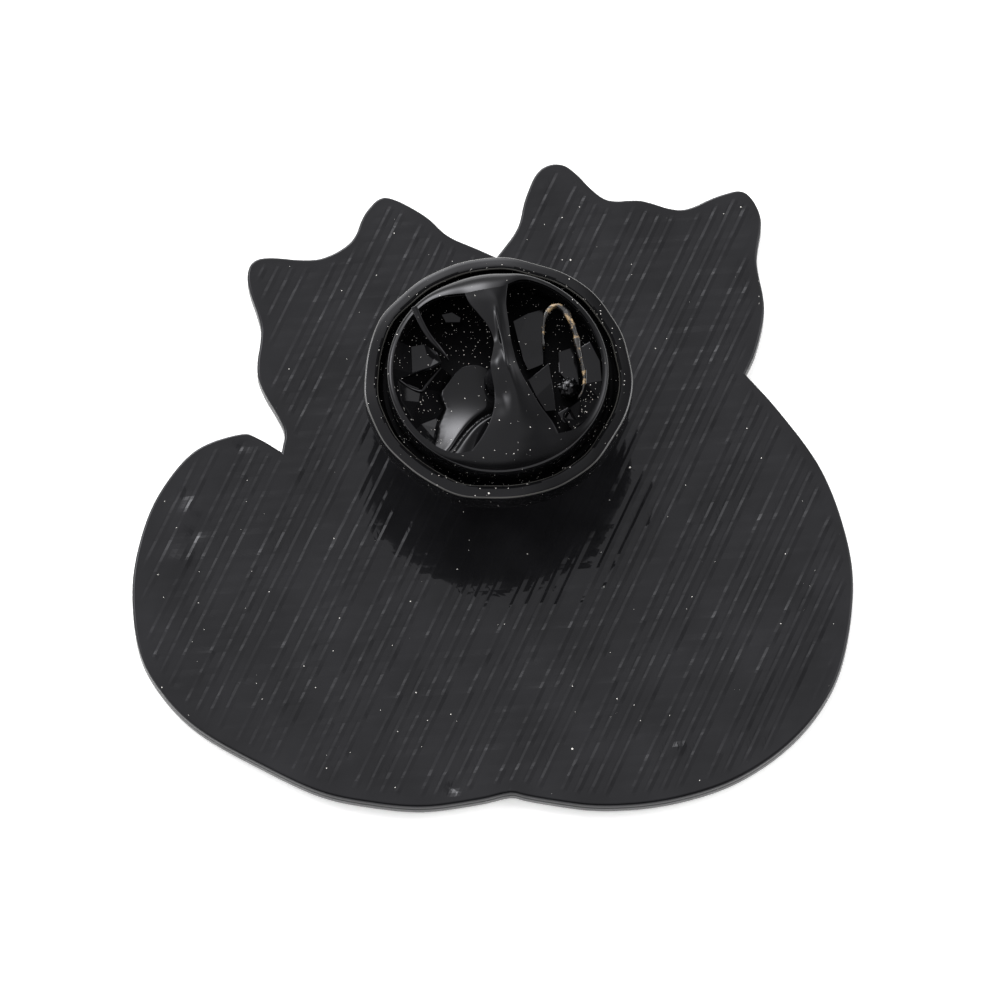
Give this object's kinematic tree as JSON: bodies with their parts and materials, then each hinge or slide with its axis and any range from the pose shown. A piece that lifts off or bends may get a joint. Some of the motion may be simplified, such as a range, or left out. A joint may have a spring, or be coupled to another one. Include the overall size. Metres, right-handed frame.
{
  "type": "enamel pin",
  "caption": "Black plated enamel pin in the outline of two sitting cats, with coloured enamel cells on the front, a post on the back and a butterfly clutch that slides off it.",
  "frame": {"origin": "on the post's axis, in the plane of the badge's back face", "axes": "+Z out of the back along the post, +Y up for the cats, +X to the right when the back is looked at. The pin lies face down."},
  "size_m": [0.0307, 0.0304, 0.007],
  "materials": {
    "badge_plating": "glossy black plating",
    "clutch_plating": "high gloss black plating",
    "enamel_orange": "glossy soft enamel",
    "enamel_grey": "glossy soft enamel",
    "enamel_white": "glossy soft enamel",
    "enamel_cream": "glossy soft enamel",
    "enamel_pink": "glossy soft enamel",
    "enamel_brown": "glossy soft enamel"
  },
  "bodies": {
    "badge": {"badge_body": "badge_plating", "post": "badge_plating", "weld_fillet": "badge_plating", "big_cat_left_muzzle": "enamel_white", "big_cat_right_muzzle": "enamel_white", "big_cat_nose": "enamel_pink", "big_cat_left_cheek": "enamel_pink", "big_cat_right_cheek": "enamel_pink", "big_cat_left_ear": "enamel_pink", "big_cat_right_ear": "enamel_pink", "big_cat_left_brow_stripe": "enamel_brown", "big_cat_middle_brow_stripe": "enamel_brown", "big_cat_right_brow_stripe": "enamel_brown", "big_cat_chest": "enamel_cream", "big_cat_left_paw": "enamel_cream", "big_cat_right_paw": "enamel_cream", "big_cat_upper_side_stripe": "enamel_brown", "big_cat_middle_side_stripe": "enamel_brown", "big_cat_lower_side_stripe": "enamel_brown", "small_cat_left_muzzle": "enamel_white", "small_cat_right_muzzle": "enamel_white", "small_cat_nose": "enamel_pink", "small_cat_left_cheek": "enamel_pink", "small_cat_right_cheek": "enamel_pink", "small_cat_left_ear": "enamel_pink", "small_cat_right_ear": "enamel_pink", "small_cat_forehead_patch": "enamel_white", "small_cat_chest": "enamel_cream", "small_cat_left_paw": "enamel_cream", "small_cat_right_paw": "enamel_cream", "big_cat_face": "enamel_orange", "big_cat_body": "enamel_orange", "small_cat_face": "enamel_grey", "small_cat_body": "enamel_grey", "small_cat_tail": "enamel_grey", "small_cat_tail_tip": "enamel_cream"},
    "clutch": {"clutch_cup": "clutch_plating", "spring_bridge": "clutch_plating"},
    "left_wing": {"left_wing": "clutch_plating"},
    "right_wing": {"right_wing": "clutch_plating"}
  },
  "joints": [
    {"name": "clutch_slide", "type": "slide", "parent": "badge", "child": "clutch", "axis": [0, 0, 1], "range_m": [-0.00025, 0.005]},
    {"name": "left_wing_squeeze", "type": "hinge", "parent": "clutch", "child": "left_wing", "pos_m": [-0.0009, 0, 0.0055], "axis": [0, 1, 0], "range_deg": [0, 8], "stiffness_Nm_per_rad": 0.005},
    {"name": "right_wing_squeeze", "type": "hinge", "parent": "clutch", "child": "right_wing", "pos_m": [0.0009, 0, 0.0055], "axis": [0, -1, 0], "range_deg": [0, 8], "stiffness_Nm_per_rad": 0.005}
  ],
  "couplings": [
    {"joint": "right_wing_squeeze", "follows": "left_wing_squeeze", "ratio": 1}
  ]
}
